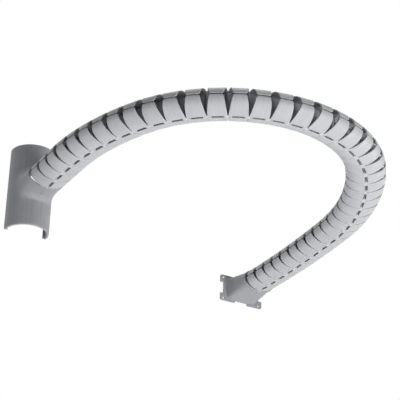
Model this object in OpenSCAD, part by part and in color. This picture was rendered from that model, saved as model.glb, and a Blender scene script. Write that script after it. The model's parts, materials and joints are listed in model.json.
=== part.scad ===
// Flexible cable duct: a chain of hinged oval links between a pole adapter and a screw-on flange.
// Millimetres, +Z up. The origin is on the pole's axis, level with the middle of the chain.
// The chain leaves the adapter along -Y and turns towards +X. Every hinge axis is upright.

/* [Chain] */
// Number of links between the two end pieces
link_count = 40; // [4:1:40]
// Distance from one hinge to the next
pitch = 30; // [24:0.5:40]
// Width of the oval duct, across the side slits
duct_w = 64; // [54:1:80]
// Height of the oval duct, from hinge to hinge
duct_h = 42.5; // [38:0.5:50]
// Radius of the oval's two narrow sides
side_r = 15.875; // [12:0.125:17]
// Wall of the links
wall = 2.2; // [1.6:0.1:3]
// Thickness of the wall that parts the duct into two ways
web_t = 2; // [1.2:0.1:3]
// Gap between two links beside the hinges
end_gap = 1.2; // [1:0.1:1.6]
// Gap between two links at the side slits, which leaves room to bend
slit_gap = 10.6; // [9:0.2:12]
// Distance from a hinge to the window beside it
neck_len = 5.75; // [5.25:0.25:8]
// Width of the window between two hinges
window_w = 4.9; // [3:0.1:7]
// Height of the open slit along each side of a link
slit_h = 2.2; // [1.6:0.1:6]
// Radius of the plates' corners beside the slit
corner_r = 3; // [1.5:0.25:6]

/* [Hinge] */
// Radius of the hinge lugs
lug_r = 3.8; // [3.2:0.1:4]
// Thickness of each lug
lug_t = 2.4; // [1.8:0.1:3]
// Radius of the hinge pins
pin_r = 1.9; // [1.5:0.1:2.2]
// Radius of the post that joins the upper and the lower pin of a link
post_r = 2.6; // [2:0.1:3]
// Radial clearance of a pin in its bore
pin_gap = 0.05; // [0.02:0.01:0.1]
// Clearance between the lugs, and around them
lug_gap = 0.3; // [0.2:0.05:0.4]

/* [Rest shape] */
// Straight joints next to the pole
straight_joints = 3; // [0:1:8]
// Joints in the easy bend that follows
entry_joints = 6; // [0:1:10]
// Bend of each of them
entry_bend = 3.9; // [0:0.05:7.5]
// Joints in the tight bend
tight_joints = 15; // [0:1:20]
// Bend of each of them
tight_bend = 7.8; // [0:0.05:7.8]
// Joints in the easy bend after the tight one
exit_joints = 8; // [0:1:10]
// Bend of each of them
exit_bend = 4.05; // [0:0.05:7.5]
// Bend of each joint that is left, up to the flange
end_bend = 0.8; // [0:0.05:4]

/* [Pole adapter] */
// Radius of the pole that the shell clips onto
pole_r = 33.5; // [30:0.5:40]
// Wall of the shell
shell_wall = 3.5; // [2.5:0.5:5]
// Height of the shell
shell_h = 146; // [100:1:200]
// Height of the chain's axis above the middle of the shell
axis_rise = 0; // [-20:1:20]
// Length of the straight legs behind the half round
leg_len = 6; // [4:0.5:12]
// How far the clip lips reach in from the legs
lip_reach = 2.5; // [1:0.25:4]
// Thickness of the clip lips
lip_t = 2.5; // [1.5:0.25:4]
// Distance from the pole's axis to the plane where the stub starts to narrow
stub_start = 12; // [8:0.5:20]
// Distance from the pole's axis to the first hinge
stub_reach = 72; // [64:1:90]
// Width of the stub where it meets the shell
stub_base_w = 70; // [60:1:72]
// Height of the stub where it meets the shell
stub_base_h = 52; // [50:1:90]
// Radius of the stub's corners where it meets the shell
stub_base_r = 20; // [8:1:22]
// Wall of the stub where it meets the shell
stub_wall = 2.6; // [2:0.1:3.5]

/* [Flange] */
// Distance from the last hinge to the face of the plate
collar_reach = 66; // [50:1:100]
// Wall of the collar
collar_wall = 2.6; // [2:0.1:3.5]
// Height of the lip around the collar's mouth
rim_t = 1.2; // [0.6:0.1:2]
// Length of that lip
rim_len = 5; // [3:0.5:8]
// Radius of the collar's corners at the plate
collar_base_r = 8; // [4:0.5:12]
// Thickness of the plate
plate_t = 3; // [2:0.5:6]
// Distance between the screw holes across the plate
hole_span_w = 79.5; // [76:0.5:100]
// Distance between the screw holes up the plate
hole_span_h = 42.5; // [40:0.5:60]
// Diameter of the screw holes
hole_d = 4.2; // [3:0.1:5]
// Width of the plate from the holes' centres to the rim
hole_margin_w = 7; // [5:0.5:10]
// Height of the plate from the holes' centres to the rim
hole_margin_h = 5; // [4:0.5:10]
// Width of each corner ear
ear_w = 33; // [20:0.5:40]
// Height of each corner ear
ear_h = 15; // [12:0.5:20]
// Radius of the ears' outer corners
ear_r = 2; // [1:0.5:3]

/* [Hidden] */
$fn = 64;
// Steps of a circle in the blended stretches, and the thickness of their end slices
blend_fn = 32;
slice_t = 0.1;
// How far a cut reaches past what it cuts
over = 1;

half_w = duct_w / 2;
half_h = duct_h / 2;
// The oval is four arcs: two narrow sides about side_c and two crowns about crown_drop
side_c = half_w - side_r;
crown_r = (side_c * side_c + half_h * half_h - side_r * side_r) / (2 * (half_h - side_r));
crown_drop = crown_r - half_h;
arc_turn = atan2(crown_drop, side_c);

gap = end_gap / 2;
// The ends of a link slope back this far from the hinges to the slits, at this angle
slit_back = (slit_gap - end_gap) / 2;
slope = atan(slit_back / half_h);
corner_out = 0.97;
lug_top = half_h;
inner_top = lug_top - lug_t - lug_gap;
inner_low = inner_top - lug_t;
pin_top = lug_top - lug_gap;
notch_r = lug_r + lug_gap;
bore_r = pin_r + pin_gap;
neck_w = 2 * lug_r + 2 * wall;
window_len = pitch - 2 * neck_len;
// The wall between the ways stops this far short of the next hinge
web_back = lug_r + lug_gap;

shell_r = pole_r + shell_wall;
widest = max(duct_w + 2 * rim_t, stub_base_w);

joint_count = link_count + 1;
entry_end = straight_joints + entry_joints;
tight_end = entry_end + tight_joints;
exit_end = tight_end + exit_joints;
function bend(j) = j < straight_joints ? 0
                 : j < entry_end ? entry_bend
                 : j < tight_end ? tight_bend
                 : j < exit_end ? exit_bend : end_bend;

start_heading = -90;
// Heading of the piece after each joint, and the place of each hinge
headings = [for (j = 0, h = start_heading + bend(0); j < joint_count; j = j + 1, h = h + bend(j)) h];
hinges = [for (j = 0, p = [0, -stub_reach]; j < joint_count;
               p = p + pitch * [cos(headings[j]), sin(headings[j])], j = j + 1) p];

function link_name(i) = str("link_", i < 10 ? "0" : "", i);

link_colour = [0.82, 0.82, 0.85];
adapter_colour = [0.56, 0.57, 0.59];

// The duct's oval, drawn in by inset all round
module oval(inset = 0) {
    side = side_r - inset;
    crown = crown_r - inset;
    meet = [side_c + side * cos(arc_turn), side * sin(arc_turn)];
    square(2 * meet, center = true);
    for (s = [-1, 1]) {
        intersection() {
            translate([s * side_c, 0]) circle(side);
            translate([s * (meet.x + side / 2), 0]) square([side, 2 * meet.y], center = true);
        }
        intersection() {
            translate([0, -s * crown_drop]) circle(crown);
            translate([0, s * (meet.y + side / 2)]) square([2 * meet.x, side], center = true);
        }
    }
}

// Point of that outline where it faces the direction t
function oval_point(t, inset) =
    abs(sin(t)) < sin(arc_turn)
        ? (side_r - inset) * [cos(t), sin(t)] + [sign(cos(t)) * side_c, 0]
        : (crown_r - inset) * [cos(t), sin(t)] - [0, sign(sin(t)) * crown_drop];

// The oval in straight steps, for the blended stretches
module stepped_oval(inset) {
    polygon([for (k = [0:blend_fn - 1]) oval_point(360 * k / blend_fn, inset)]);
}

// A flat shape stood across the chain's axis and drawn out along it
module along(from, to) {
    translate([from, 0, 0]) rotate([90, 0, 90]) linear_extrude(to - from) children();
}

module tube(from, to) {
    along(from, to) difference() {
        oval();
        oval(wall);
    }
}

// What is cut off the end of a piece at the hinge x, so that it slopes back from the hinges to the slits
module end_cut(x, front = false) {
    z = half_h + 2 * over;
    top = gap - 2 * over * tan(slope);
    translate([x, 0, 0]) mirror([front ? 1 : 0, 0, 0]) rotate([90, 0, 0])
        linear_extrude(widest + 2 * over, center = true)
            polygon([[gap + slit_back, 0], [top, z], [-over, z], [-over, -z], [top, -z]]);
}

// Runs its children on the upper and on the lower side of the duct
module both_sides() {
    children();
    mirror([0, 0, 1]) children();
}

// The lugs with bores at the front end of a piece, around the hinge at x
module bored_lugs(x) {
    both_sides() translate([x, 0, lug_top - lug_t]) cylinder(r = lug_r, h = lug_t);
}

module lug_bores(x) {
    both_sides() translate([x, 0, lug_top - lug_t - over]) cylinder(r = bore_r, h = lug_t + 2 * over);
}

// The lugs, pins and post at the rear end of a piece, around the hinge at the origin
module pinned_lugs() {
    neck_h = half_h - wall / 2 - inner_low;
    both_sides() {
        translate([0, 0, inner_low]) cylinder(r = lug_r, h = lug_t);
        translate([0, -lug_r, inner_low]) cube([neck_len, 2 * lug_r, lug_t]);
        translate([notch_r, -neck_w / 2, inner_low]) cube([neck_len - notch_r, neck_w, neck_h]);
        translate([0, 0, inner_low]) cylinder(r = pin_r, h = pin_top - inner_low);
    }
    translate([0, 0, -inner_low - lug_t / 2]) cylinder(r = post_r, h = 2 * inner_low + lug_t);
}

// The wall between the two ways of a piece, from its post on, with its edges half way into the duct's wall
module web(reach) {
    low = 2 * inner_low + lug_t;
    tall = duct_h - wall;
    start = neck_len - wall / 2;
    translate([0, -web_t / 2, -low / 2]) cube([reach, web_t, low]);
    translate([start, -web_t / 2, -tall / 2]) cube([reach - start, web_t, tall]);
}

// Room in the wall for the lugs of the piece before
module lug_notches() {
    both_sides() translate([0, 0, inner_top]) cylinder(r = notch_r, h = half_h);
}

// What is cut off the corner of a plate that lies along +X above its slit, to round it.
// The round is moved out a little, so that it crosses the plate's two edges instead of just touching them.
module corner_cut() {
    centre = corner_out * corner_r * [tan((90 - slope) / 2), 1];
    out = [-cos(slope), -sin(slope)];
    difference() {
        polygon([[-2 * over, -over], [centre.x, -over], centre, centre + (corner_r + over) * out]);
        translate(centre) circle(corner_r);
    }
}

// The slit along both sides, with the rounded corners of the four plates it parts
module side_slits(from, to) {
    depth = half_w + over - side_c;
    corner = slit_back - slit_h / 2 * tan(slope);
    ends = [from + corner, to - corner];
    for (s = [0, 1]) mirror([0, s, 0]) {
        translate([from - over, side_c, -slit_h / 2]) cube([to - from + 2 * over, depth, slit_h]);
        both_sides() for (e = [0, 1])
            translate([ends[e], side_c + depth, slit_h / 2]) mirror([e, 0, 0])
                rotate([90, 0, 0]) linear_extrude(depth) corner_cut();
    }
}

module duct_link() {
    color(link_colour) union() {
        difference() {
            union() {
                difference() {
                    tube(0, pitch);
                    end_cut(0);
                    end_cut(pitch, front = true);
                    lug_notches();
                    side_slits(gap, pitch - gap);
                }
                bored_lugs(pitch);
                pinned_lugs();
            }
            lug_bores(pitch);
            translate([neck_len, -window_w / 2, -half_h - over])
                cube([window_len, window_w, duct_h + 2 * over]);
        }
        web(pitch - web_back);
    }
}

// A rounded rectangle as wide and high as given
module rounded(w, h, r) {
    for (x = [-1, 1], y = [-1, 1]) translate([x * (w / 2 - r), y * (h / 2 - r)]) circle(r);
}

// A thin slice of a flat shape, for the ends of a blended stretch
module slice(x) {
    along(x, x + slice_t) children();
}

// The stub's form from the shell to the plain oval, drawn in at the shell and at the mouth
module stub_form(reach, inset = 0, mouth_inset = 0) {
    base = [stub_base_w, stub_base_h] - 2 * [inset, inset];
    hull() {
        slice(stub_start) rounded(base.x, base.y, stub_base_r - inset, $fn = blend_fn);
        slice(reach - slice_t) stepped_oval(mouth_inset);
    }
}

// Half the stub's height at a distance from the pole's axis
function stub_half_h(x) =
    stub_base_h / 2 + (duct_h - stub_base_h) / 2 * (x - stub_start) / (stub_reach - stub_start);

// The wall between the two ways of the stub
module stub_web() {
    ends = [shell_r - shell_wall / 2, stub_reach - web_back];
    tops = [for (x = ends) stub_half_h(x) - wall / 2];
    rotate([90, 0, 0]) linear_extrude(web_t, center = true)
        polygon([[ends[0], -tops[0]], [ends[1], -tops[1]], [ends[1], tops[1]], [ends[0], tops[0]]]);
}

// Plan of the shell: a half round with straight legs and clip lips
module shell_plan() {
    difference() {
        union() {
            circle(shell_r);
            translate([-leg_len, -shell_r]) square([leg_len, 2 * shell_r]);
        }
        translate([-leg_len - shell_r, -shell_r - over]) square([shell_r, 2 * (shell_r + over)]);
        circle(pole_r);
        translate([lip_t - leg_len, -pole_r]) square([leg_len - lip_t, 2 * pole_r]);
        translate([-leg_len - over, lip_reach - pole_r]) square([leg_len, 2 * (pole_r - lip_reach)]);
    }
}

module pole_adapter() {
    bottom = -shell_h / 2 - axis_rise;
    color(adapter_colour) rotate(start_heading) difference() {
        union() {
            difference() {
                union() {
                    translate([0, 0, bottom]) linear_extrude(shell_h) shell_plan();
                    stub_form(stub_reach);
                }
                end_cut(stub_reach, front = true);
                stub_form(stub_reach + over, stub_wall, wall);
                translate([0, 0, bottom - over]) cylinder(r = pole_r, h = shell_h + 2 * over);
            }
            bored_lugs(stub_reach);
            stub_web();
        }
        lug_bores(stub_reach);
    }
}

// The collar's form from the oval mouth to the plate, drawn in by inset
module collar_form(inset, from, to) {
    base = [duct_w, duct_h] - 2 * [inset, inset];
    hull() {
        slice(from) stepped_oval(inset);
        slice(to - slice_t) rounded(base.x, base.y, collar_base_r - inset, $fn = blend_fn);
    }
}

// The plate: an ear around each screw hole, and a rectangle that joins the ears on both sides
module plate_outline() {
    plate_w = hole_span_w + 2 * hole_margin_w;
    plate_h = hole_span_h + 2 * hole_margin_h;
    square([hole_span_w, plate_h - ear_h], center = true);
    for (y = [0, 1], z = [0, 1]) mirror([y, 0]) mirror([0, z])
        translate([plate_w / 2 - ear_w, plate_h / 2 - ear_h]) {
            square([ear_w - ear_r, ear_h]);
            square([ear_w, ear_h - ear_r]);
            translate([ear_w - ear_r, ear_h - ear_r]) circle(ear_r);
        }
}

module end_flange() {
    back = collar_reach + plate_t;
    color(adapter_colour) translate(hinges[link_count]) rotate(headings[link_count]) {
        difference() {
            union() {
                collar_form(0, 0, back);
                along(0, rim_len) stepped_oval(-rim_t);
                along(collar_reach, back) plate_outline();
            }
            end_cut(0);
            collar_form(collar_wall, -over, back + over);
            lug_notches();
            along(collar_reach - over, back + over)
                for (y = [-1, 1], z = [-1, 1])
                    translate([y * hole_span_w, z * hole_span_h] / 2) circle(d = hole_d);
        }
        pinned_lugs();
        web(collar_reach);
    }
}

pole_adapter();
for (i = [1:link_count])
    translate(hinges[i - 1]) rotate(headings[i - 1]) duct_link();
end_flange();
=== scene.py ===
"""Looks of the flexible cable duct: forty moulded links, the pole adapter and the end flange.

Sizes are in millimetres, unless a comment says otherwise. A piece's own frame has +X along the chain and
+Z up. The rear hinge of a link or the flange is at its origin, and so is the pole's axis for the adapter.
"""

import json
import math

import bmesh
import bpy
from mathutils import Matrix, Vector
from mathutils.geometry import delaunay_2d_cdt


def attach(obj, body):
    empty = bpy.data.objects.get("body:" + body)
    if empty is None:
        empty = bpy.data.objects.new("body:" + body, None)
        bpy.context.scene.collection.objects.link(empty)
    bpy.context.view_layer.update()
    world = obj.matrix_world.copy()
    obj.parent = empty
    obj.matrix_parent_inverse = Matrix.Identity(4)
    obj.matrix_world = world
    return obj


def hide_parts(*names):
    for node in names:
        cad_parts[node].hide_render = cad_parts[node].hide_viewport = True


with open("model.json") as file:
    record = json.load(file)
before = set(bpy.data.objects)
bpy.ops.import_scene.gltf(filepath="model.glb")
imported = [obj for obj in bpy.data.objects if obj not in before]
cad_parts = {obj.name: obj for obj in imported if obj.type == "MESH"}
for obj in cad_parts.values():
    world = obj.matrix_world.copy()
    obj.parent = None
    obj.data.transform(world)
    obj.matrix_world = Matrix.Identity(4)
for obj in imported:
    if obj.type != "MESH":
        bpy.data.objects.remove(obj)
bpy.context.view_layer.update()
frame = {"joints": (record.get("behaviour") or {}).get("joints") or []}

MM = 0.001

# The duct and its links
DUCT_W = 64
DUCT_H = 42.5
SIDE_R = 15.875
WALL = 2.2
PITCH = 30
END_GAP = 1.2
SLIT_GAP = 10.6
SLIT_H = 2.2
NECK_LEN = 5.75
NECK_GAP = 0.1
WINDOW_W = 4.9
WEB_T = 2

# The closed sill below each window, which gets the darkest painted shade, and the dip of the web under it
SILL_DEPTH = 3
SILL_T = 1.2
SILL_HALF = 8
SILL_LAP = 1
DIP_START = 0.6
DIP_END = 2.4

# The hinges
LUG_R = 3.8
LUG_T = 2.4
LUG_GAP = 0.3
PIN_R = 1.9
PIN_EDGE = 0.4
PIN_EDGE_MIDDLE = 0.12
DIMPLE_R = 0.75
DIMPLE_FLOOR_R = 0.6
DIMPLE_DEPTH = 0.25
BORE_R = 1.95
POST_R = 2.6
POST_LAP = 0.5
# The flare at a post's ends: how far out from the post, and how far from its end
POST_FLARE = [(0.9, 0.0), (0.35, 0.4), (0.0, 1.2)]

# The pole adapter
POLE_R = 33.5
SHELL_WALL = 3.5
SHELL_H = 146
LEG_LEN = 6
# How far the skin stays back from the shell's edges, where its rounded rim follows
RIM_BACK = 0.6
CLIP_REACH = 2.5
CLIP_T = 2.5
CLIP_SUNK = 0.3
CLIP_SHORT = 2
STUB_START = 12
STUB_REACH = 72
STUB_BASE_H = 52
STUB_LUG_LEN = 6
STUB_LUG_SUNK = 0.05
# Half the height of the way through the stub where it enters the shell
WAY_H = 15
# Where the stub's flare leaves the shell: half its width along the skin, half its height, its corners
FLARE_U = 46
FLARE_H = 30
FLARE_R = 26
# How far the flare keeps its course at the shell and at the mouth, as shares of its length
FLARE_PULL = 0.3
MOUTH_PULL = 0.45

# The flange
COLLAR_REACH = 66
COLLAR_WALL = 2.6
COLLAR_BASE_R = 8
# The section of the collar's lip: how far from the mouth, how far out from the collar, and how much paler
# wear and painted highlight it gets
COLLAR_LIP = [
    (1.0, -COLLAR_WALL, 0.0),
    (0.3, -2.45, 0.0),
    (0.0, -2.0, 0.0),
    (0.0, 0.7, 1.0),
    (0.15, 1.05, 1.0),
    (0.5, 1.2, 0.0),
    (3.2, 1.2, 0.0),
    (3.6, 1.05, 1.0),
    (3.8, 0.7, 1.0),
    (3.9, 0.25, 1.0),
    (4.3, 0.0, 0.0),
]
# Points of the lip that lie further in than this are inside, and get the inner sides' painted shade
COLLAR_LIP_INSIDE = -2.0
# The fillet at the plate: how far before it, and how far out
BASE_FILLET = [(2.4, 0.0), (1.2, 0.15), (0.5, 0.45), (0.15, 0.8), (-0.5, 1.0)]
# The collar's end in the plate: how far before its back the two sides end, and how far out the outer one
OUTER_END = 1
INNER_END = 0.3
END_OUT = 0.5
PLATE_T = 3
# How much wider the way through the plate is than through the collar, on each side
WAY_STEP = 0.25
HOLE_SPAN_W = 79.5
HOLE_SPAN_H = 42.5
HOLE_D = 4.2
HOLE_MARGIN_W = 7
HOLE_MARGIN_H = 5
EAR_W = 33
EAR_H = 15

# Edges: how far their rounding reaches in
EDGE_R = 0.45
THIN_EDGE = 0.3
CLIP_EDGE = 0.25
STUB_LUG_EDGE = 0.4
PLATE_EDGE = 0.5

# Corners: how far from them their rounding starts
CORNER = 2.6
LUG_CORNER = 0.5
NOTCH_CORNER = 0.7
WINDOW_CORNER = 0.8
TONGUE_CORNER = 0.4
SILL_CORNER = 0.8
WEB_CORNER = 0.7
SHELL_CORNER = 1.5
CLIP_INNER_CORNER = 0.9
CLIP_OUTER_CORNER = 0.7
STUB_LUG_CORNER = 0.8
# An ear's corners, from the flange's side to its upper or lower edge
EAR_CORNERS = [1.0, 1.2, 3.6, 1.2, 1.0]

# How fine the meshes are: the spacing of points along outlines
PLATE_STEP = 3
SLOPE_STEP = 2
LUG_STEP = 2
ROUND_STEP = 0.9
WIDE_STEP = 4
CLIP_STEP = 1.5
RING_STEP = 0.3
# The spacing of points inside outlines, along and across
PLATE_GRID = (2.6, 2.0)
LUG_GRID = (2.5, 2.5)
NECK_GRID = (3, 3)
WIDE_GRID = (4, 4)
SHELL_GRID = (2.6, 5.0)
CLIP_GRID = (1.5, 1.5)
# Points inside an outline keep clear of it by this share of their spacing
GRID_CLEAR = 0.45
# Counts of steps in corners, edges and rounds
LUG_CORNER_STEPS = 5
CORNER_STEPS = 4
INNER_CORNER_STEPS = 3
EDGE_STEPS = 3
THIN_EDGE_STEPS = 2
BORE_POINTS = 24
HOLE_POINTS = 28
ROUND_POINTS = 32
FLARE_STEPS = 14
COLLAR_STEPS = 14
# Where the points of a ring lie beside the notch, from the crown's middle, and how many share the rest
NOTCH_STOPS = [1.2, 2.2, 3.0, 3.6, 3.95, 4.3, 5.2]
EVEN_STOPS = 16

# The sharpest mitre, the tries to find where two edges meet, and how close points are one
MITRE_LIMIT = 0.5
MEETING_TRIES = 20
SAME_POINT = 1e-7
# Short steps along the adapter's skin that show which way it runs, and how far off it the stub begins
FLARE_PROBE = 3
RIM_PROBE = 0.1
SKIN_SLACK = 0.2

# The plastics: colours, roughness and gloss
LIGHT_GREY = (0.58, 0.585, 0.615)
MID_GREY = (0.40, 0.41, 0.435)
LIGHT_ROUGHNESS = 0.45
GREY_ROUGHNESS = 0.48
SPECULAR = 0.4
# How much painted shade darkens a piece's inner sides, where the sills of the windows, which get the
# darkest painted shade, are 1
INSIDE_SHADE = 0.25
# How far on each link's patterns lie from those of the link before
TONE_STEP = 0.37
# The patterns: scale per metre and detail
MOTTLE = (45, 3)
DRAW_LINES = (700, 3)
DRAW_STRETCH = (1, 0.02, 0.02)
GRAIN = (2600, 2)
SCUFFS = (350, 4)
# The part of a pattern that goes from none to all
MOTTLE_RANGE = (0.3, 0.7)
DRAW_RANGE = (0.45, 0.7)
WEAR_AND_HIGHLIGHT_RANGE = (0.35, 0.6)
ROUGH_RANGE = (0.35, 0.65)
# Tones, as shares of a plastic's colour, and how far they go
DARKER = 0.95
PALER = 1.04
STREAK = 0.87
STREAK_MOST = 0.8
# Paler edges and pins: partly wear, partly painted highlight
WEAR_AND_HIGHLIGHT = 1.25
WEAR_AND_HIGHLIGHT_LIFT = 0.03
WEAR_AND_HIGHLIGHT_SPAN = (0.35, 0.95)
# The painted shade on inner sides, posts, webs and sills: its tone and how far it goes
PAINTED_SHADE = 0.3
PAINTED_SHADE_MOST = 0.9
# Scuffs make the plastic that much smoother or rougher
SMOOTHER = 0.06
ROUGHER = 0.08
# Relief: strength, and depth in metres
GRAIN_RELIEF = (0.25, 0.00006)
DRAW_RELIEF = (0.2, 0.00005)

# The camera: its place in metres, its angles, and its focal length in pixels of the photograph
CAMERA_AT = (-0.7201, -1.7933, -0.9564)
CAMERA_TURN = math.radians(30.27)
CAMERA_PITCH = math.radians(26.47)
CAMERA_ROLL = math.radians(1.37)
FOCAL_PX = 1292.5
FRAME_PX = 400
SENSOR_W = 36

# The light: each lamp's place in metres, its diameter and its watts
LIT_POINT = Vector((0.26, -0.2, 0.0))
LAMPS = [
    ("key", (0.9, -1.9, -1.3), 1.0, 28),
    ("below", (0.3, -0.4, -1.6), 1.0, 7),
    ("right", (2.2, -0.3, -1.0), 1.0, 10),
    ("left", (-2.0, 0.3, -1.0), 1.0, 11.5),
    ("back", (0.3, 1.6, -1.3), 1.2, 7),
    ("above", (0.3, -0.3, 1.7), 1.4, 13),
]
WHITE = (1, 1, 1, 1)
AMBIENT = 0.1
# The studio's floor, in metres
GROUND_Z = -2.6
GROUND_SIDE = 200
GROUND_GLOW = 0.65
GROUND_COLOUR = (0.8, 0.8, 0.8, 1)
GROUND_ROUGHNESS = 0.9

# Which way the chain runs at the adapter and at the flange
START_HEADING = -math.pi / 2
END_HEADING = math.pi / 2

# Worked out from those
HALF_W = DUCT_W / 2
HALF_H = DUCT_H / 2
SIDE_C = HALF_W - SIDE_R
CROWN_R = (SIDE_C ** 2 + HALF_H ** 2 - SIDE_R ** 2) / (2 * (HALF_H - SIDE_R))
CROWN_DROP = CROWN_R - HALF_H
ARC_TURN = math.atan2(CROWN_DROP, SIDE_C)
CROWN_LEN = CROWN_R * (math.pi / 2 - ARC_TURN)
QUARTER_LEN = CROWN_LEN + SIDE_R * ARC_TURN
PANEL_HALF = CROWN_LEN + SIDE_R * (ARC_TURN - math.asin(SLIT_H / 2 / SIDE_R))
SLIT_BACK = (SLIT_GAP - END_GAP) / 2
NOTCH_R = LUG_R + LUG_GAP
WINDOW_END = PITCH - NECK_LEN
INNER_TOP = HALF_H - LUG_T - LUG_GAP
INNER_LOW = INNER_TOP - LUG_T
MID_WALL_H = HALF_H - WALL / 2
SHELL_R = POLE_R + SHELL_WALL
SHELL_HALF = SHELL_R * math.pi / 2
FLANGE_BACK = COLLAR_REACH + PLATE_T
STOPS = [(QUARTER_LEN - s) / QUARTER_LEN for s in NOTCH_STOPS]
STOPS += [STOPS[-1] * k / EVEN_STOPS for k in range(1, EVEN_STOPS)]
STOPS.sort()


def line(a, b, step):
    """Points from a to b, both included, about a step apart."""
    a, b = Vector(a), Vector(b)
    count = max(1, round((b - a).length / step))
    return [a.lerp(b, k / count) for k in range(count + 1)]


def around(centre, radius, turn):
    """The point of a circle at that angle, in radians."""
    return Vector(centre) + radius * Vector((math.cos(turn), math.sin(turn)))


def arc(centre, radius, start, end, step):
    """Points of an arc from one angle to another, both included, about a step apart."""
    count = max(2, round(abs(end - start) * radius / step))
    return [around(centre, radius, start + (end - start) * k / count) for k in range(count + 1)]


def circle(centre, radius, count):
    """Points around a circle."""
    return [around(centre, radius, 2 * math.pi * k / count) for k in range(count)]


def shortened(path, cut):
    """The path without the first stretch of that length."""
    for k in range(len(path) - 1):
        length = (path[k + 1] - path[k]).length
        if length > cut:
            return [path[k].lerp(path[k + 1], cut / length)] + path[k + 1:]
        cut -= length
    return path[-1:]


def loop_of(paths, cuts, steps):
    """A closed outline from paths that meet end to end, their last corners rounded from the cuts on."""
    points = []
    for k, path in enumerate(paths):
        after = paths[(k + 1) % len(paths)]
        here = shortened(path, cuts[k - 1])
        here = shortened(here[::-1], cuts[k])[::-1]
        points += here if cuts[k] else here[:-1]
        if cuts[k]:
            corner, a, b = path[-1], here[-1], shortened(after, cuts[k])[0]
            weight = math.sin((a - corner).angle(b - corner) / 2)
            for t in (j / steps for j in range(1, steps)):
                parts = ((1 - t) ** 2, 2 * t * (1 - t) * weight, t * t)
                points.append((a * parts[0] + corner * parts[1] + b * parts[2]) / sum(parts))
    return points


def polygon(corners, cuts, step, corner_steps):
    """A closed outline with straight sides. Each corner is rounded from its own cut on."""
    corners = [Vector(p) for p in corners]
    sides = [line(a, b, step) for a, b in zip(corners, corners[1:] + corners[:1])]
    return loop_of(sides, cuts[1:] + cuts[:1], corner_steps)


def box_corners(low, high):
    """The four corners of a rectangle, in turn, from two that face each other."""
    return [low, (high[0], low[1]), high, (low[0], high[1])]


def signed_area(loop):
    """The loop's area, which is below zero where the loop runs clockwise."""
    return sum(a.x * b.y - b.x * a.y for a, b in zip(loop, loop[1:] + loop[:1])) / 2


def left_normals(loop):
    """For each corner, the way to step left so that both its sides move by one."""
    normals = []
    for before, here, after in zip(loop[-1:] + loop[:-1], loop, loop[1:] + loop[:1]):
        a, b = (here - before).normalized(), (after - here).normalized()
        middle = Vector((-a.y - b.y, a.x + b.x)).normalized()
        normals.append(middle / max(MITRE_LIMIT, middle.dot(Vector((-a.y, a.x)))))
    return normals


def inside(point, loop):
    """Whether a flat point lies in the loop."""
    within = False
    for a, b in zip(loop, loop[1:] + loop[:1]):
        if (a.y > point.y) != (b.y > point.y):
            if point.x < a.x + (point.y - a.y) * (b.x - a.x) / (b.y - a.y):
                within = not within
    return within


def between_loops(point, loops):
    """Whether a flat point lies in the first loop and in none of the others."""
    return inside(point, loops[0]) and not any(inside(point, hole) for hole in loops[1:])


def near(point, loop, distance):
    """Whether a flat point lies that close to one of the loop's sides."""
    for a, b in zip(loop, loop[1:] + loop[:1]):
        side = b - a
        t = min(1, max(0, (point - a).dot(side) / side.length_squared))
        if (a + side * t - point).length_squared < distance * distance:
            return True
    return False


def grid_points(loops, spacing):
    """Evenly spaced points in the first loop, clear of it and of the loops inside it."""
    low = Vector((min(p.x for p in loops[0]), min(p.y for p in loops[0])))
    high = Vector((max(p.x for p in loops[0]), max(p.y for p in loops[0])))
    columns, rows = (max(1, math.ceil((high[k] - low[k]) / spacing[k])) for k in (0, 1))
    clear = GRID_CLEAR * min(spacing)
    points = []
    for j in range(1, rows):
        for i in range(1, columns):
            x = low.x + (high.x - low.x) * i / columns
            y = low.y + (high.y - low.y) * j / rows
            p = Vector((x, y))
            if between_loops(p, loops) and not any(near(p, loop, clear) for loop in loops):
                points.append(p)
    return points


def filled(loops, spacing):
    """Points and triangles that fill the first loop around the others. The loops' points come first."""
    points = [p for loop in loops for p in loop]
    edges, first = [], 0
    for loop in loops:
        edges += [(first + k, first + (k + 1) % len(loop)) for k in range(len(loop))]
        first += len(loop)
    points += grid_points(loops, spacing)
    found, _, faces, came_from, _, _ = delaunay_2d_cdt(points, edges, [], 0, SAME_POINT)
    index = [ids[0] for ids in came_from]
    triangles = []
    for face in faces:
        middle = sum((found[k] for k in face), Vector((0, 0))) / len(face)
        if between_loops(middle, loops):
            triangles.append([index[k] for k in face])
    return points, triangles


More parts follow.
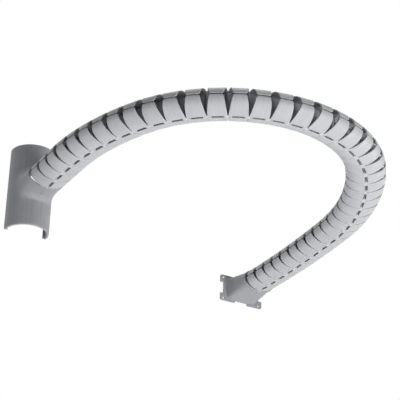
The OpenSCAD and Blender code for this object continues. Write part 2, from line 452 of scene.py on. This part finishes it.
class Shell:
    """The points and faces of a piece, with each point's paler wear and painted highlight, and how far
    inside the piece it is, which sets its painted shade.
    """

    def __init__(self):
        self.points, self.faces, self.wear, self.inner = [], [], [], []

    def add(self, point, wear=0.0, inner=0.0):
        """Adds a point and gives its number."""
        self.points.append(Vector(point))
        self.wear.append(wear)
        self.inner.append(inner)
        return len(self.points) - 1

    def strip(self, a, b):
        """Faces between two closed rings of as many points."""
        for k in range(len(a)):
            n = (k + 1) % len(a)
            self.faces.append((a[k], a[n], b[n], b[k]))

    def sheet(self, loops, place, thick, edge, spacing, edge_steps=THIN_EDGE_STEPS, inner=0.0):
        """A closed plate with rounded edges. place(u, v, depth) puts a flat point that deep in it."""
        loops = [p if (signed_area(p) > 0) == (k == 0) else p[::-1] for k, p in enumerate(loops)]
        turns = [math.pi / 2 * k / edge_steps for k in range(edge_steps + 1)]
        # Each step of the round: inset, depth, and paler wear with painted highlight, most at the round's
        # middle
        upper = [(edge * (1 - math.sin(t)), edge * (1 - math.cos(t)), math.sin(2 * t)) for t in turns]
        # The lower face gets at least the inner sides' painted shade
        under = max(inner, INSIDE_SHADE)
        profile = [(inset, depth, wear, inner) for inset, depth, wear in upper]
        profile += [(inset, thick - depth, wear / 2, under) for inset, depth, wear in upper[::-1]]
        outer, lower, drawn_in = [], [], []
        for loop in loops:
            normals = left_normals(loop)
            rings = []
            for inset, depth, wear, within in profile:
                moved = [p + n * inset for p, n in zip(loop, normals)]
                rings.append([self.add(place(p.x, p.y, depth), wear, within) for p in moved])
            for a, b in zip(rings, rings[1:]):
                self.strip(a, b)
            outer += rings[0]
            lower += rings[-1]
            drawn_in.append([p + n * edge for p, n in zip(loop, normals)])
        points, triangles = filled(drawn_in, spacing)
        for p in points[len(outer):]:
            outer.append(self.add(place(p.x, p.y, 0), 0.0, inner))
            lower.append(self.add(place(p.x, p.y, thick), 0.0, under))
        for a, b, c in triangles:
            self.faces.append((outer[a], outer[b], outer[c]))
            self.faces.append((lower[c], lower[b], lower[a]))

    def turned(self, profile, inner=0.0, wear=0.0):
        """A solid of revolution about Z from (radius, height) pairs, with a flat face at each end."""
        rings = []
        for radius, height in profile:
            ring = circle((0, 0), radius, ROUND_POINTS)
            rings.append([self.add((*p, height), wear, inner) for p in ring])
        for a, b in zip(rings, rings[1:]):
            self.strip(a, b)
        self.faces += [tuple(rings[0][::-1]), tuple(rings[-1])]

    def counts(self):
        """How many points and faces there are so far."""
        return len(self.points), len(self.faces)

    def mirrored(self, since):
        """Adds a copy below of the points and faces that came after the given counts."""
        first, first_face = since
        shift = len(self.points) - first
        for k in range(first, len(self.points)):
            x, y, z = self.points[k]
            self.add((x, y, -z), self.wear[k], self.inner[k])
        self.faces += [tuple(k + shift for k in face[::-1]) for face in self.faces[first_face:]]

    def mesh(self, name, material):
        """The finished mesh, in metres, with smooth faces."""
        mesh = bpy.data.meshes.new(name)
        mesh.from_pydata([p * MM for p in self.points], [], self.faces)
        for key, values in (("wear", self.wear), ("inner", self.inner)):
            mesh.attributes.new(key, "FLOAT", "POINT").data.foreach_set("value", values)
        work = bmesh.new()
        work.from_mesh(mesh)
        bmesh.ops.recalc_face_normals(work, faces=work.faces)
        work.to_mesh(mesh)
        work.free()
        mesh.polygons.foreach_set("use_smooth", [True] * len(mesh.polygons))
        mesh.materials.append(material)
        mesh.update()
        return mesh


def oval_place(x, s, depth):
    """A point of the upper half of the duct's wall: s runs along the oval from the crown's middle."""
    turn = math.pi / 2 - min(abs(s), CROWN_LEN) / CROWN_R
    radius, centre = CROWN_R, (0, -CROWN_DROP)
    if abs(s) > CROWN_LEN:
        turn -= (abs(s) - CROWN_LEN) / SIDE_R
        radius, centre = SIDE_R, (SIDE_C, 0)
    y, z = around(centre, radius - depth, turn)
    return Vector((x, math.copysign(y, s), z))


def flat_place(top):
    """Puts a flat outline level, with its outer face up at that height."""
    return lambda x, y, depth: Vector((x, y, top - depth))


def web_place(x, z, depth):
    """Puts a flat outline upright, in the middle of the duct."""
    return Vector((x, WEB_T / 2 - depth, z))


def plate_place(y, z, depth):
    """Puts a flat outline at the flange's plate, with its outer face towards the collar."""
    return Vector((COLLAR_REACH + depth, y, z))


def stub_lug_place(x, s, depth):
    """Puts a flat outline on the stub's crown, a little below its skin."""
    return oval_place(x, s, depth + STUB_LUG_SUNK)


def slope_back(z):
    """How far a piece's end lies back at that height, as it slopes from the hinge to the slit."""
    return END_GAP / 2 + SLIT_BACK * (1 - abs(z) / HALF_H)


def rear_x(s):
    """Where a plate begins at that place along the oval."""
    return slope_back(oval_place(0, s, 0).z)


def end_edge(start, end, front):
    """A plate's sloping end, from one place along the oval to another."""
    count = max(1, round(abs(end - start) / SLOPE_STEP))
    places = [start + (end - start) * k / count for k in range(count + 1)]
    return [Vector((PITCH - rear_x(s) if front else rear_x(s), s)) for s in places]


def meeting(radius):
    """How far along the oval a circle about the hinge meets a plate's end."""
    s = radius
    for _ in range(MEETING_TRIES):
        s = math.sqrt(radius ** 2 - rear_x(s) ** 2)
    return s


def panel_loops():
    """A link's upper half: the outline with its lug and its notch, the window and the bore."""
    notch_s, lug_s, edge_s = meeting(NOTCH_R), meeting(LUG_R), PANEL_HALF
    notch_turn = math.atan2(notch_s, rear_x(notch_s))
    lug_turn = math.pi - math.atan2(lug_s, rear_x(lug_s))
    slit = rear_x(edge_s)
    paths = [
        line((slit, -edge_s), (PITCH - slit, -edge_s), PLATE_STEP),
        end_edge(-edge_s, -lug_s, True),
        arc((PITCH, 0), LUG_R, -lug_turn, lug_turn, ROUND_STEP),
        end_edge(lug_s, edge_s, True),
        line((PITCH - slit, edge_s), (slit, edge_s), PLATE_STEP),
        end_edge(edge_s, notch_s, False),
        arc((0, 0), NOTCH_R, notch_turn, -notch_turn, ROUND_STEP),
        end_edge(-notch_s, -edge_s, False),
    ]
    cuts = [CORNER, LUG_CORNER, LUG_CORNER, CORNER, CORNER, NOTCH_CORNER, NOTCH_CORNER, CORNER]
    corners = box_corners((NECK_LEN, -WINDOW_W / 2), (WINDOW_END, WINDOW_W / 2))
    window = polygon(corners, [WINDOW_CORNER] * len(corners), PLATE_STEP, CORNER_STEPS)
    return [loop_of(paths, cuts, LUG_CORNER_STEPS), window, circle((PITCH, 0), BORE_R, BORE_POINTS)]


def pin(shell):
    """The hinge pin on an inner lug, with a dimple in its head."""
    top = HALF_H - LUG_GAP
    profile = [
        (PIN_R, INNER_LOW + POST_LAP),
        (PIN_R, top - PIN_EDGE),
        (PIN_R - PIN_EDGE_MIDDLE, top - PIN_EDGE_MIDDLE),
        (PIN_R - PIN_EDGE, top),
        (DIMPLE_R, top),
        (DIMPLE_FLOOR_R, top - DIMPLE_DEPTH),
    ]
    # The whole pin is painted fully pale: partly wear, partly a painted highlight on its head
    shell.turned(profile, wear=1.0)


def tongues(shell):
    """The inner lugs of a piece's rear hinge with their necks and pins, above and below."""
    start = shell.counts()
    paths = [
        line((NECK_LEN, -LUG_R), (NECK_LEN, LUG_R), LUG_STEP),
        line((NECK_LEN, LUG_R), (0, LUG_R), LUG_STEP),
        arc((0, 0), LUG_R, math.pi / 2, 1.5 * math.pi, ROUND_STEP),
        line((0, -LUG_R), (NECK_LEN, -LUG_R), LUG_STEP),
    ]
    outline = loop_of(paths, [TONGUE_CORNER, 0, 0, TONGUE_CORNER], LUG_CORNER_STEPS)
    shell.sheet([outline], flat_place(INNER_TOP), LUG_T, THIN_EDGE, LUG_GRID)
    half = LUG_R + WALL
    corners = box_corners((NOTCH_R + NECK_GAP, -half), (NECK_LEN, half))
    neck = polygon(corners, [TONGUE_CORNER] * len(corners), LUG_STEP, CORNER_STEPS)
    shell.sheet([neck], flat_place(MID_WALL_H), MID_WALL_H - INNER_LOW, THIN_EDGE, NECK_GRID)
    pin(shell)
    shell.mirrored(start)


def post(shell):
    """The upright between the two inner lugs of a piece."""
    top = INNER_LOW + POST_LAP
    profile = [(POST_R + out, up - top) for out, up in POST_FLARE]
    profile += [(POST_R + out, top - down) for out, down in POST_FLARE[::-1]]
    # The post gets the inner sides' painted shade
    shell.turned(profile, INSIDE_SHADE)


def web(shell, upper):
    """The wall between the two ways of a piece, from the upper half of its outline in (x, z)."""
    corners = upper + [(x, -z) for x, z in upper[::-1]]
    outline = polygon(corners, [WEB_CORNER] * len(corners), WIDE_STEP, INNER_CORNER_STEPS)
    # The web gets the inner sides' painted shade
    shell.sheet([outline], web_place, WEB_T, THIN_EDGE, WIDE_GRID, inner=INSIDE_SHADE)


def post_web(shell, reach, dip=()):
    """The wall between the ways of a piece with a post, which it starts from, with a dip in its edges."""
    low, start = INNER_LOW + LUG_T / 2, NECK_LEN - WALL / 2
    web(shell, [(0, low), (start, low), (start, MID_WALL_H), *dip, (reach, MID_WALL_H)])


def link_mesh(material):
    """One moulded link. Its web dips below the windows and carries a sill under each."""
    shell = Shell()
    start = shell.counts()
    shell.sheet(panel_loops(), oval_place, WALL, EDGE_R, PLATE_GRID, EDGE_STEPS)
    corners = box_corners((NECK_LEN - SILL_LAP, -SILL_HALF), (WINDOW_END + SILL_LAP, SILL_HALF))
    outline = polygon(corners, [SILL_CORNER] * len(corners), WIDE_STEP, INNER_CORNER_STEPS)
    # The sill gets the darkest painted shade, standing in for the shade inside the window
    shell.sheet([outline], flat_place(HALF_H - SILL_DEPTH), SILL_T, THIN_EDGE, WIDE_GRID, inner=1.0)
    shell.mirrored(start)
    tongues(shell)
    post(shell)
    sunk = HALF_H - SILL_DEPTH - SILL_T / 2
    dip = [
        (NECK_LEN + DIP_START, MID_WALL_H),
        (NECK_LEN + DIP_END, sunk),
        (WINDOW_END - DIP_END, sunk),
        (WINDOW_END - DIP_START, MID_WALL_H),
    ]
    post_web(shell, PITCH - NOTCH_R, dip)
    return shell.mesh("moulded_link", material)


def resampled(path, stops):
    """Points of the path at the given shares of its length."""
    lengths = [(b - a).length for a, b in zip(path, path[1:])]
    points = []
    for stop in stops:
        left, k = sum(lengths) * stop, 0
        while left > lengths[k] and k < len(lengths) - 1:
            left -= lengths[k]
            k += 1
        points.append(path[k].lerp(path[k + 1], min(1, left / lengths[k])))
    return points


def full_ring(path):
    """A closed ring of flat points from its first quarter, which runs from one axis to the other."""
    quarter = resampled(path, STOPS)
    half = [path[0]] + quarter + [path[-1]] + [Vector((-p.x, p.y)) for p in quarter[::-1]]
    return half + [-p for p in half]


def oval_ring(inset=0.0):
    """The duct's oval as a ring of flat (y, z) points, drawn in by the inset."""
    side = arc((SIDE_C, 0), SIDE_R - inset, 0, ARC_TURN, RING_STEP)
    crown = arc((0, -CROWN_DROP), CROWN_R - inset, ARC_TURN, math.pi / 2, RING_STEP)
    return full_ring(side + crown[1:])


def box_ring(half_w, half_h, radius):
    """A rounded rectangle as such a ring."""
    upright = line((half_w, 0), (half_w, half_h - radius), RING_STEP)
    corner = arc((half_w - radius, half_h - radius), radius, 0, math.pi / 2, RING_STEP)
    level = line((half_w - radius, half_h), (0, half_h), RING_STEP)
    return full_ring(upright + corner[1:] + level[1:])


def bezier(a, b, c, d, t):
    """The point at share t of a curve from a to d, which b and c pull."""
    u = 1 - t
    return a * u ** 3 + b * (3 * u * u * t) + c * (3 * u * t * t) + d * t ** 3


def shell_place(u, z):
    """A point of the adapter's outer skin: u runs around it from the middle of the half round."""
    if abs(u) <= SHELL_HALF:
        return Vector((SHELL_R * math.cos(u / SHELL_R), SHELL_R * math.sin(u / SHELL_R), z))
    return Vector((SHELL_HALF - abs(u), math.copysign(SHELL_R, u), z))


def flare_point(flat, mouth, share):
    """A point of the stub's skin, at that share of its way from the shell to the mouth."""
    root = shell_place(*flat)
    ahead = shell_place(*(flat - flat.normalized() * FLARE_PROBE))
    end = Vector((STUB_REACH - slope_back(mouth.y) - EDGE_R, mouth.x, mouth.y))
    room = (end - root).length
    leaving = root + (ahead - root).normalized() * room * FLARE_PULL
    arriving = end - Vector((room * MOUTH_PULL, 0, 0))
    return bezier(root, leaving, arriving, end, share)


def face_normal(shell, face):
    """The way a face looks, worked out from its first three points."""
    a, b, c = (shell.points[k] for k in face[:3])
    return (b - a).cross(c - a)


def turn_outwards(shell, middle):
    """Turns the faces so far that look towards the middle the other way round."""
    for k, face in enumerate(shell.faces):
        if face_normal(shell, face).dot(shell.points[face[0]] - middle) < 0:
            shell.faces[k] = face[::-1]


def thickened(shell, rims, inner_at):
    """Makes a skin a closed wall. rims are its open rings, with each point's way out of the skin."""
    skin = list(shell.faces)
    normals = [Vector() for _ in shell.points]
    for face in skin:
        normal = face_normal(shell, face)
        for k in face:
            normals[k] += normal
    normals = [n.normalized() for n in normals]
    # The skin's inner side gets the inner sides' painted shade
    inner = [shell.add(inner_at(p, n), 0.0, INSIDE_SHADE) for p, n in zip(list(shell.points), normals)]
    shell.faces += [tuple(inner[k] for k in face[::-1]) for face in skin]
    turns = [math.pi / 2 * k / EDGE_STEPS for k in range(1, EDGE_STEPS + 1)]
    for ring, ways in rims:
        steps = [ring]
        sides = [(ring, -1, 0.0, turns), ([inner[k] for k in ring], 1, INSIDE_SHADE, turns[::-1])]
        for base, side, within, order in sides:
            for t in order:
                out, down = EDGE_R * math.sin(t), side * EDGE_R * (1 - math.cos(t))
                starts = zip(base, ring, ways)
                moved = [shell.points[k] + way * out + normals[j] * down for k, j, way in starts]
                # Rim rounds get paler wear with painted highlight, most at their middle
                steps.append([shell.add(p, math.sin(2 * t), within) for p in moved])
        steps.append([inner[k] for k in ring])
        for a, b in zip(steps, steps[1:]):
            shell.strip(a, b)


def adapter_inner(p, normal):
    """The inner point below a point of the adapter's skin. The stub's way narrows to the shell."""
    share = min(1, max(0, (p.x - SHELL_R) / (STUB_REACH - SHELL_R)))
    point = p - normal * (SHELL_WALL + (WALL - SHELL_WALL) * share)
    if math.hypot(p.x, p.y) > SHELL_R + SKIN_SLACK:
        tall = WAY_H + (HALF_H - WALL - WAY_H) * share
        point.z = min(tall, max(-tall, point.z))
    return point


def adapter_mesh(material):
    """The adapter: a half-round shell that flows into the oval stub, the clip lips and the lugs."""
    shell = Shell()
    reach, half = SHELL_HALF + LEG_LEN - RIM_BACK, SHELL_H / 2 - RIM_BACK
    corners = box_corners((-reach, -half), (reach, half))
    outline = polygon(corners, [SHELL_CORNER] * len(corners), WIDE_STEP, CORNER_STEPS)
    root = box_ring(FLARE_U, FLARE_H, FLARE_R)
    points, triangles = filled([outline, root], SHELL_GRID)
    skin = [shell.add(shell_place(*p)) for p in points]
    shell.faces += [tuple(skin[k] for k in triangle) for triangle in triangles]
    rim, last = skin[:len(outline)], skin[len(outline):len(outline) + len(root)]
    for step in range(1, FLARE_STEPS + 1):
        share = step / FLARE_STEPS
        ring = [shell.add(flare_point(flat, mouth, share)) for flat, mouth in zip(root, oval_ring())]
        shell.strip(last, ring)
        last = ring
    turn_outwards(shell, Vector((SHELL_R / 2, 0, 0)))
    rim_ways = []
    for p, normal in zip(outline, left_normals(outline)):
        rim_ways.append((shell_place(*p) - shell_place(*(p + normal * RIM_PROBE))).normalized())
    mouth_ways = [Vector((1, 0, 0))] * len(last)
    thickened(shell, [(rim, rim_ways), (last, mouth_ways)], adapter_inner)
    for side in (-1, 1):
        clip_lip(shell, side)
    stub_lugs(shell)
    stub_web(shell)
    return shell.mesh("moulded_pole_adapter", material)


def clip_lip(shell, side):
    """The clip lip along one leg of the adapter."""
    inner, outer = side * (POLE_R - CLIP_REACH), side * (SHELL_R - CLIP_SUNK)
    corners = box_corners((-LEG_LEN, inner), (CLIP_T - LEG_LEN, outer))
    cuts = [CLIP_INNER_CORNER] * 2 + [CLIP_OUTER_CORNER] * 2
    outline = polygon(corners, cuts, CLIP_STEP, CORNER_STEPS)
    height = SHELL_H - CLIP_SHORT
    shell.sheet([outline], flat_place(height / 2), height, CLIP_EDGE, CLIP_GRID)


def stub_lugs(shell):
    """The bored lugs at the stub's mouth, above and below."""
    start = shell.counts()
    foot = STUB_REACH - STUB_LUG_LEN
    paths = [
        arc((STUB_REACH, 0), LUG_R, -math.pi / 2, math.pi / 2, ROUND_STEP),
        line((STUB_REACH, LUG_R), (foot, LUG_R), LUG_STEP),
        line((foot, LUG_R), (foot, -LUG_R), LUG_STEP),
        line((foot, -LUG_R), (STUB_REACH, -LUG_R), LUG_STEP),
    ]
    outline = loop_of(paths, [0, STUB_LUG_CORNER, STUB_LUG_CORNER, 0], LUG_CORNER_STEPS)
    bore = circle((STUB_REACH, 0), BORE_R, BORE_POINTS)
    shell.sheet([outline, bore], stub_lug_place, LUG_T, STUB_LUG_EDGE, LUG_GRID, EDGE_STEPS)
    shell.mirrored(start)


def stub_web(shell):
    """The wall between the two ways of the stub."""
    upper = []
    for x in (SHELL_R - SHELL_WALL / 2, STUB_REACH - NOTCH_R):
        share = (x - STUB_START) / (STUB_REACH - STUB_START)
        upper.append((x, STUB_BASE_H / 2 + (DUCT_H - STUB_BASE_H) / 2 * share - WALL / 2))
    web(shell, upper)


def mouth_x(p):
    """Where the collar's mouth begins: its sloping end, with the notch for the last link's lug."""
    return max(slope_back(p.y), math.sqrt(max(0, NOTCH_R ** 2 - p.x * p.x)))


def collar(shell):
    """The flange's collar with its lip and fillet, which goes from the oval to a rounded rectangle."""
    box = (HALF_W, HALF_H, COLLAR_BASE_R)

    def ring(share, out, x_of, wear=0.0, inner=0.0):
        ends = zip(oval_ring(-out), box_ring(*(size + out for size in box)), oval_ring())
        flat = [(a.lerp(b, share), at) for a, b, at in ends]
        return [shell.add((x_of(at), p.x, p.y), wear, inner) for p, at in flat]

    def level(x):
        return lambda p: x

    def from_mouth(dx):
        return lambda p: mouth_x(p) + dx

    def between(share, start, end):
        return lambda p: mouth_x(p) + start + (end - mouth_x(p) - start) * share

    shares = [k / COLLAR_STEPS for k in range(1, COLLAR_STEPS + 1)]
    lip_start, lip_end = COLLAR_LIP[0][0], COLLAR_LIP[-1][0]
    fillet_start = COLLAR_REACH - BASE_FILLET[0][0]
    rings = []
    for dx, out, wear in COLLAR_LIP:
        # Lip rings further in than the wall get the inner sides' painted shade
        rings.append(ring(0, out, from_mouth(dx), wear, INSIDE_SHADE * (out < COLLAR_LIP_INSIDE)))
    for share in shares:
        rings.append(ring(share, 0, between(share, lip_end, fillet_start)))
    for dx, out in BASE_FILLET[1:]:
        rings.append(ring(1, out, level(COLLAR_REACH - dx)))
    rings.append(ring(1, END_OUT, level(FLANGE_BACK - OUTER_END)))
    # The inner rings get the inner sides' painted shade
    rings.append(ring(1, -COLLAR_WALL, level(FLANGE_BACK - INNER_END), 0, INSIDE_SHADE))
    for share in shares[-2::-1]:
        rings.append(ring(share, -COLLAR_WALL, between(share, lip_start, FLANGE_BACK), 0, INSIDE_SHADE))
    for a, b in zip(rings, rings[1:] + rings[:1]):
        shell.strip(a, b)


def plate(shell):
    """The flange's plate with its ears, the way for the cables and the screw holes."""
    half_w, half_h = HOLE_SPAN_W / 2 + HOLE_MARGIN_W, HOLE_SPAN_H / 2 + HOLE_MARGIN_H
    side_w, ear_low, ear_in = HOLE_SPAN_W / 2, half_h - EAR_H, half_w - EAR_W
    edge_h = HALF_H + BASE_FILLET[-1][1]
    ear = [(side_w, ear_low), (half_w, ear_low), (half_w, half_h), (ear_in, half_h), (ear_in, edge_h)]
    corners, cuts, holes = [], [], []
    for y, z in ((1, 1), (-1, 1), (-1, -1), (1, -1)):
        order = 1 if y * z > 0 else -1
        corners += [(y * a, z * b) for a, b in ear[::order]]
        cuts += EAR_CORNERS[::order]
    for y in (-1, 1):
        for z in (-1, 1):
            holes.append(circle((y * HOLE_SPAN_W / 2, z * HOLE_SPAN_H / 2), HOLE_D / 2, HOLE_POINTS))
    outline = polygon(corners, cuts, WIDE_STEP, CORNER_STEPS)
    inset = COLLAR_WALL - WAY_STEP
    way = box_ring(HALF_W - inset, HALF_H - inset, COLLAR_BASE_R - inset)
    shell.sheet([outline, way] + holes, plate_place, PLATE_T, PLATE_EDGE, WIDE_GRID, EDGE_STEPS)


def flange_mesh(material):
    """The flange: the oval collar, the plate with its four ears, and the rear hinge with its web."""
    shell = Shell()
    collar(shell)
    plate(shell)
    tongues(shell)
    post(shell)
    post_web(shell, COLLAR_REACH)
    return shell.mesh("moulded_end_flange", material)


class Nodes:
    """Short ways to add shader nodes to a tree and link them."""

    def __init__(self, tree):
        self.nodes, self.link = tree.nodes, tree.links.new

    def add(self, kind, **settings):
        """Adds a node with those settings."""
        made = self.nodes.new("ShaderNode" + kind)
        for key, value in settings.items():
            setattr(made, key, value)
        return made

    def attribute(self, name, kind="GEOMETRY"):
        """A number that each point has, or each object."""
        return self.add("Attribute", attribute_name=name, attribute_type=kind).outputs["Fac"]

    def noise(self, pattern, place, tone):
        """A pattern of noise at that place, shifted by the tone."""
        made = self.add("TexNoise", noise_dimensions="4D")
        made.inputs["Scale"].default_value, made.inputs["Detail"].default_value = pattern
        self.link(place, made.inputs["Vector"])
        self.link(tone, made.inputs["W"])
        return made.outputs["Fac"]

    def stretched(self, place, scale):
        """The place with its axes scaled."""
        made = self.add("Mapping")
        made.inputs["Scale"].default_value = scale
        self.link(place, made.inputs["Vector"])
        return made.outputs["Vector"]

    def blend(self, a, b, factor):
        """A colour between two others, each given as a colour or as a node's output."""
        made = self.add("Mix", data_type="RGBA")
        colours = [socket for socket in made.inputs if socket.type == "RGBA"]
        for socket, value in zip(colours, (a, b)):
            if isinstance(value, tuple):
                socket.default_value = (*value, 1)
            else:
                self.link(value, socket)
        self.link(factor, made.inputs["Factor"])
        return next(socket for socket in made.outputs if socket.type == "RGBA")

    def span(self, value, to, source=(0.0, 1.0)):
        """The value, with the source's two ends moved to the given two."""
        made = self.add("MapRange")
        for key, number in zip(("From Min", "From Max", "To Min", "To Max"), (*source, *to)):
            made.inputs[key].default_value = number
        self.link(value, made.inputs["Value"])
        return made.outputs["Result"]

    def math(self, operation, a, b):
        """Two values multiplied, the larger of the two, or the like."""
        made = self.add("Math", operation=operation)
        self.link(a, made.inputs[0])
        self.link(b, made.inputs[1])
        return made.outputs["Value"]

    def bump(self, height, relief):
        """A node that makes relief of a pattern."""
        made = self.add("Bump")
        made.inputs["Strength"].default_value, made.inputs["Distance"].default_value = relief
        self.link(height, made.inputs["Height"])
        return made


def tinted(colour, share, lift=0.0):
    """The colour, lightened or darkened."""
    return tuple(min(1, c * share + lift) for c in colour)


def moulded_plastic(name, colour, roughness):
    """Satin moulded plastic: grain, faint draw lines and mottling, paler edges that are partly wear and
    partly painted highlight, and painted shade on the inside.
    """
    material = bpy.data.materials.new(name)
    material.use_nodes = True
    shader = material.node_tree.nodes["Principled BSDF"].inputs
    nodes = Nodes(material.node_tree)

    place = nodes.add("TexCoord").outputs["Object"]
    tone = nodes.attribute("tone", "OBJECT")
    mottle = nodes.noise(MOTTLE, place, tone)
    draw_lines = nodes.noise(DRAW_LINES, nodes.stretched(place, DRAW_STRETCH), tone)
    grain = nodes.noise(GRAIN, place, tone)
    scuffs = nodes.noise(SCUFFS, place, tone)

    mottled = nodes.span(mottle, (0, 1), MOTTLE_RANGE)
    streaked = nodes.span(draw_lines, (0, STREAK_MOST), DRAW_RANGE)
    # Paler rounded edges and pins, partly wear and partly painted highlight, broken up by the scuffs
    wear_and_highlight_mask = nodes.math("MULTIPLY", nodes.attribute("wear"), nodes.span(scuffs, WEAR_AND_HIGHLIGHT_SPAN, WEAR_AND_HIGHLIGHT_RANGE))
    # Painted shade on inner sides, posts, webs and sills, deepest on the sills
    painted_shade_mask = nodes.span(nodes.attribute("inner"), (0, PAINTED_SHADE_MOST))
    shade = nodes.blend(tinted(colour, DARKER), tinted(colour, PALER), mottled)
    shade = nodes.blend(shade, tinted(colour, STREAK), streaked)
    shade = nodes.blend(shade, tinted(colour, WEAR_AND_HIGHLIGHT, WEAR_AND_HIGHLIGHT_LIFT), wear_and_highlight_mask)
    shade = nodes.blend(shade, tinted(colour, PAINTED_SHADE), painted_shade_mask)
    nodes.link(shade, shader["Base Color"])
    rough = nodes.span(scuffs, (roughness - SMOOTHER, roughness + ROUGHER), ROUGH_RANGE)
    nodes.link(rough, shader["Roughness"])

    fine, lines = nodes.bump(grain, GRAIN_RELIEF), nodes.bump(draw_lines, DRAW_RELIEF)
    nodes.link(fine.outputs["Normal"], lines.inputs["Normal"])
    nodes.link(lines.outputs["Normal"], shader["Normal"])
    shader["Specular IOR Level"].default_value = SPECULAR
    return material


def seen_level(tree, as_light, as_seen):
    """One strength for lighting the duct, another for being seen straight on, mirrored or in glass."""
    nodes = Nodes(tree)
    rays = nodes.add("LightPath").outputs
    seen = nodes.math("MAXIMUM", rays["Is Camera Ray"], rays["Is Transmission Ray"])
    seen = nodes.math("MAXIMUM", seen, rays["Is Glossy Ray"])
    return nodes.span(seen, (as_light, as_seen))


def in_scene(name, data):
    """A new object of the scene."""
    made = bpy.data.objects.new(name, data)
    bpy.context.scene.collection.objects.link(made)
    return made


def surround():
    """A white surround, which lights the duct only a little."""
    world = bpy.data.worlds.new("studio")
    bpy.context.scene.world = world
    world.use_nodes = True
    tree = world.node_tree
    background = tree.nodes["Background"].inputs
    background["Color"].default_value = WHITE
    tree.links.new(seen_level(tree, AMBIENT, 1.0), background["Strength"])


def lamps():
    """Soft round lamps on all sides."""
    for name, at, size, power in LAMPS:
        lamp = bpy.data.lights.new(name, "AREA")
        lamp.shape = "DISK"
        lamp.size = size
        lamp.energy = power
        holder = in_scene(name, lamp)
        holder.location = at
        holder.rotation_euler = (LIT_POINT - Vector(at)).to_track_quat("-Z", "Y").to_euler()


def ground():
    """A pale floor well below the duct."""
    half = GROUND_SIDE / 2
    mesh = bpy.data.meshes.new("floor")
    corners = [(x, y, GROUND_Z) for x, y in box_corners((-half, -half), (half, half))]
    mesh.from_pydata(corners, [], [(0, 1, 2, 3)])
    floor = in_scene("floor", mesh)
    pale = bpy.data.materials.new("pale_floor")
    pale.use_nodes = True
    tree = pale.node_tree
    surface = tree.nodes["Principled BSDF"].inputs
    surface["Base Color"].default_value = GROUND_COLOUR
    surface["Roughness"].default_value = GROUND_ROUGHNESS
    surface["Emission Color"].default_value = WHITE
    tree.links.new(seen_level(tree, 0.0, GROUND_GLOW), surface["Emission Strength"])
    mesh.materials.append(pale)


def photo_camera():
    """The camera at the photograph's viewpoint, below the duct and looking up."""
    data = bpy.data.cameras.new("camera")
    camera = in_scene("camera", data)
    level = math.cos(CAMERA_PITCH)
    x, y = math.sin(CAMERA_TURN) * level, math.cos(CAMERA_TURN) * level
    ahead = Vector((x, y, math.sin(CAMERA_PITCH)))
    right = ahead.cross(Vector((0, 0, 1))).normalized()
    roll = Matrix.Rotation(-CAMERA_ROLL, 3, ahead)
    axes = Matrix((roll @ right, roll @ right.cross(ahead), -ahead)).transposed()
    camera.matrix_world = Matrix.Translation(CAMERA_AT) @ axes.to_4x4()
    data.sensor_width = SENSOR_W
    data.lens = FOCAL_PX / FRAME_PX * SENSOR_W
    bpy.context.scene.camera = camera


def make_piece(body, mesh, at, heading):
    """Puts a moulded piece in place on its body, where it stands for the node of the same name."""
    piece = in_scene(f"moulded_{body}", mesh)
    piece.matrix_world = Matrix.Translation(at) @ Matrix.Rotation(heading, 4, "Z")
    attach(piece, body)
    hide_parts(body)
    return piece


hinges = [Vector(joint["pos_m"]) for joint in frame["joints"]]
light_plastic = moulded_plastic("light_plastic", LIGHT_GREY, LIGHT_ROUGHNESS)
grey_plastic = moulded_plastic("grey_plastic", MID_GREY, GREY_ROUGHNESS)

link = link_mesh(light_plastic)
for number, (rear, front) in enumerate(zip(hinges, hinges[1:]), 1):
    heading = math.atan2(front.y - rear.y, front.x - rear.x)
    piece = make_piece(f"link_{number:02d}", link, rear, heading)
    piece["tone"] = number * TONE_STEP
make_piece("pole_adapter", adapter_mesh(grey_plastic), (0, 0, 0), START_HEADING)
make_piece("end_flange", flange_mesh(grey_plastic), hinges[-1], END_HEADING)

surround()
lamps()
ground()
photo_camera()
bpy.context.scene.view_settings.view_transform = "Standard"
